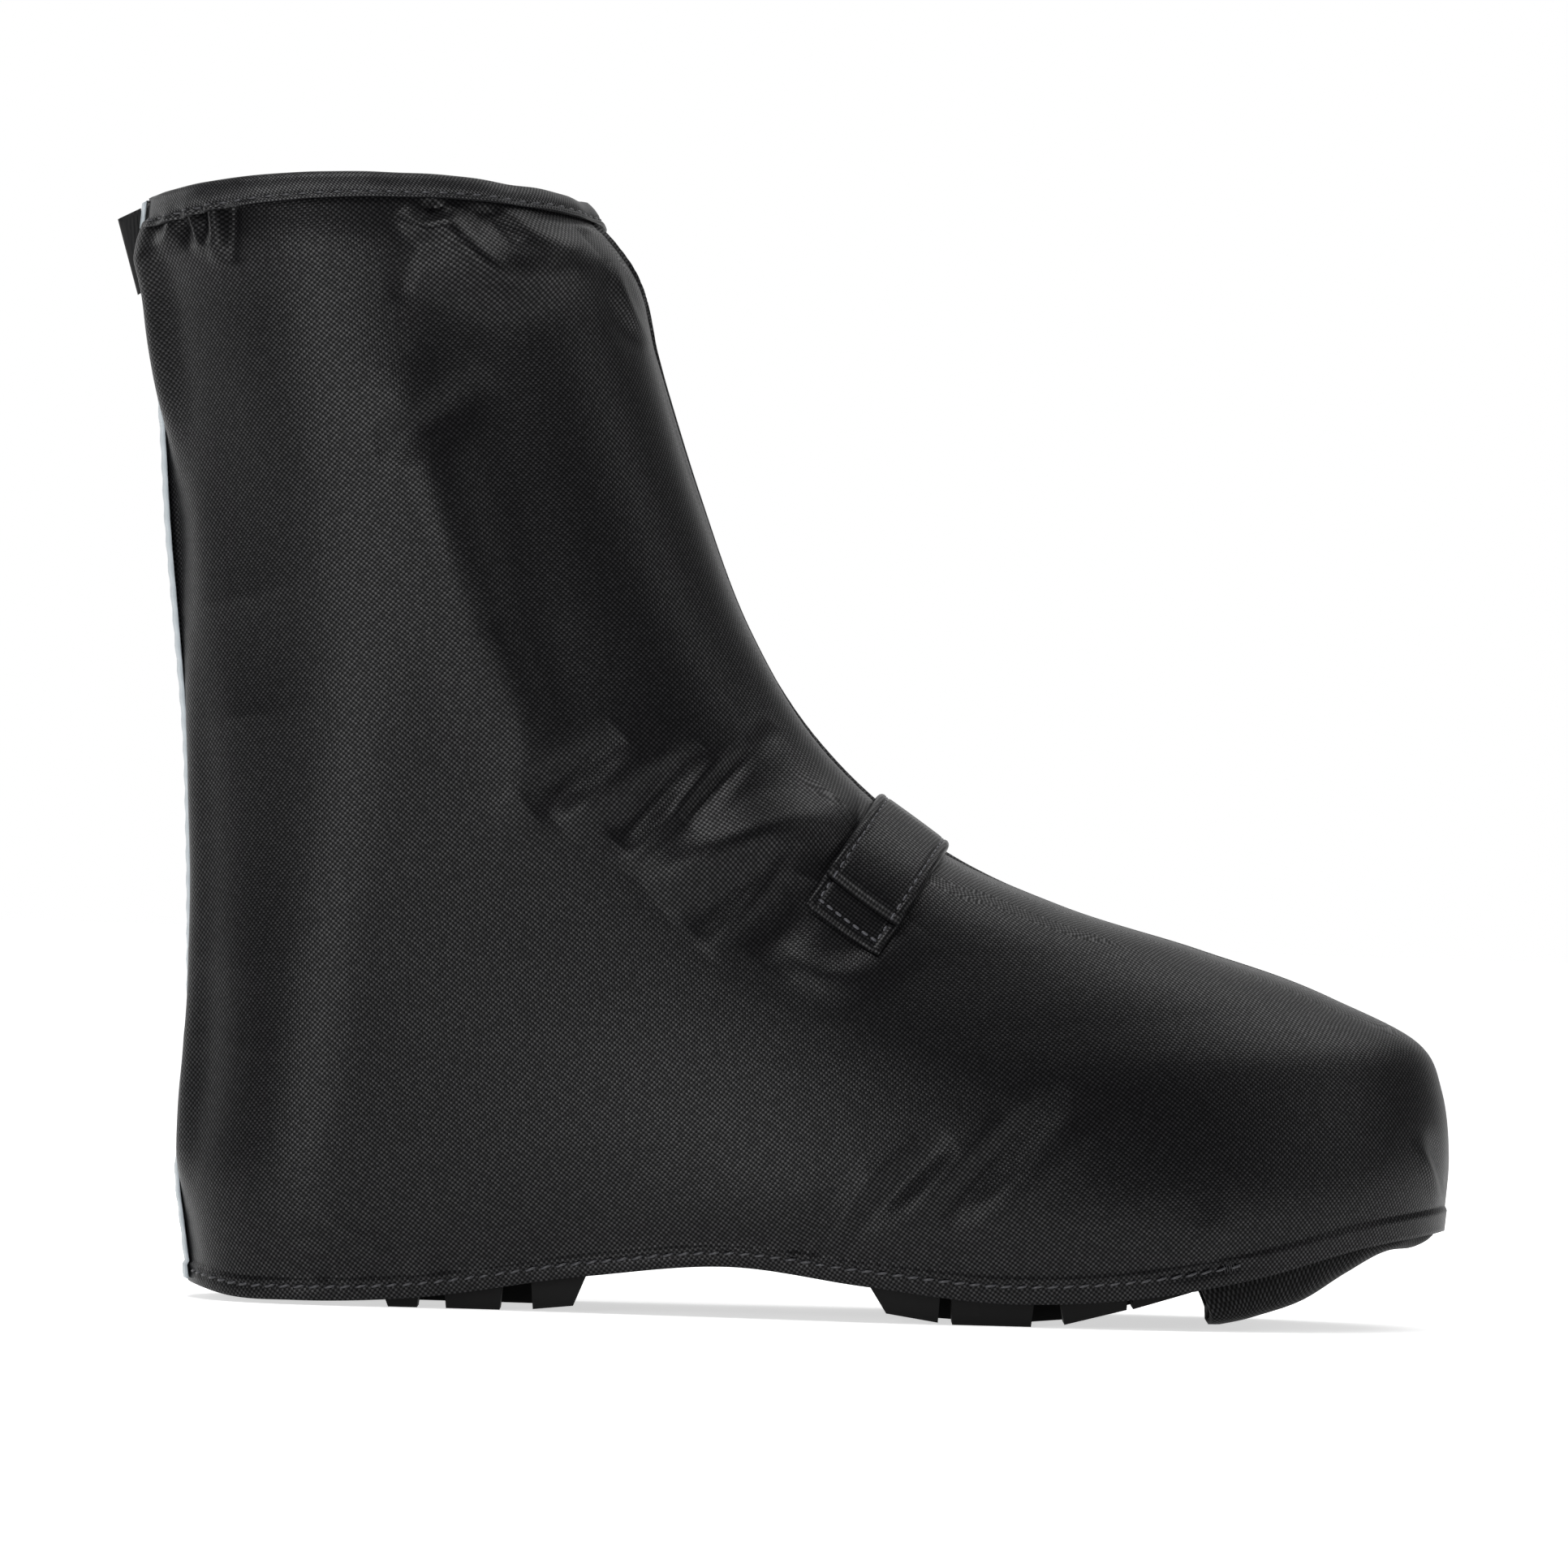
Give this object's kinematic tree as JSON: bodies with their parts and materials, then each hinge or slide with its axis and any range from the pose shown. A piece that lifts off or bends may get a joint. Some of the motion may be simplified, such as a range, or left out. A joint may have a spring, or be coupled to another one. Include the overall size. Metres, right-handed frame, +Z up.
{
  "type": "cycling overshoe",
  "caption": "Black cloth cycling overshoe for the right foot with a bound collar, pale back strip, instep strap and lugged rubber sole",
  "frame": {"origin": "middle of the bounding box, on the floor under the sole", "axes": "+X points to the toe, +Y to the inner side of this right shoe, +Z up"},
  "size_m": [0.3272, 0.1137, 0.2696],
  "materials": {
    "oxford_cloth": "satin",
    "edge_binding": "satin",
    "reflective_tape": "satin",
    "grosgrain_tape": "matte",
    "sole_rubber": "matte"
  },
  "bodies": {
    "root": {"upper": "oxford_cloth", "collar_binding": "edge_binding", "reflective_strip": "reflective_tape", "pull_loop": "grosgrain_tape", "instep_strap": "oxford_cloth", "strap_tab": "oxford_cloth", "toe_pocket": "oxford_cloth", "outsole": "sole_rubber"}
  },
  "joints": []
}
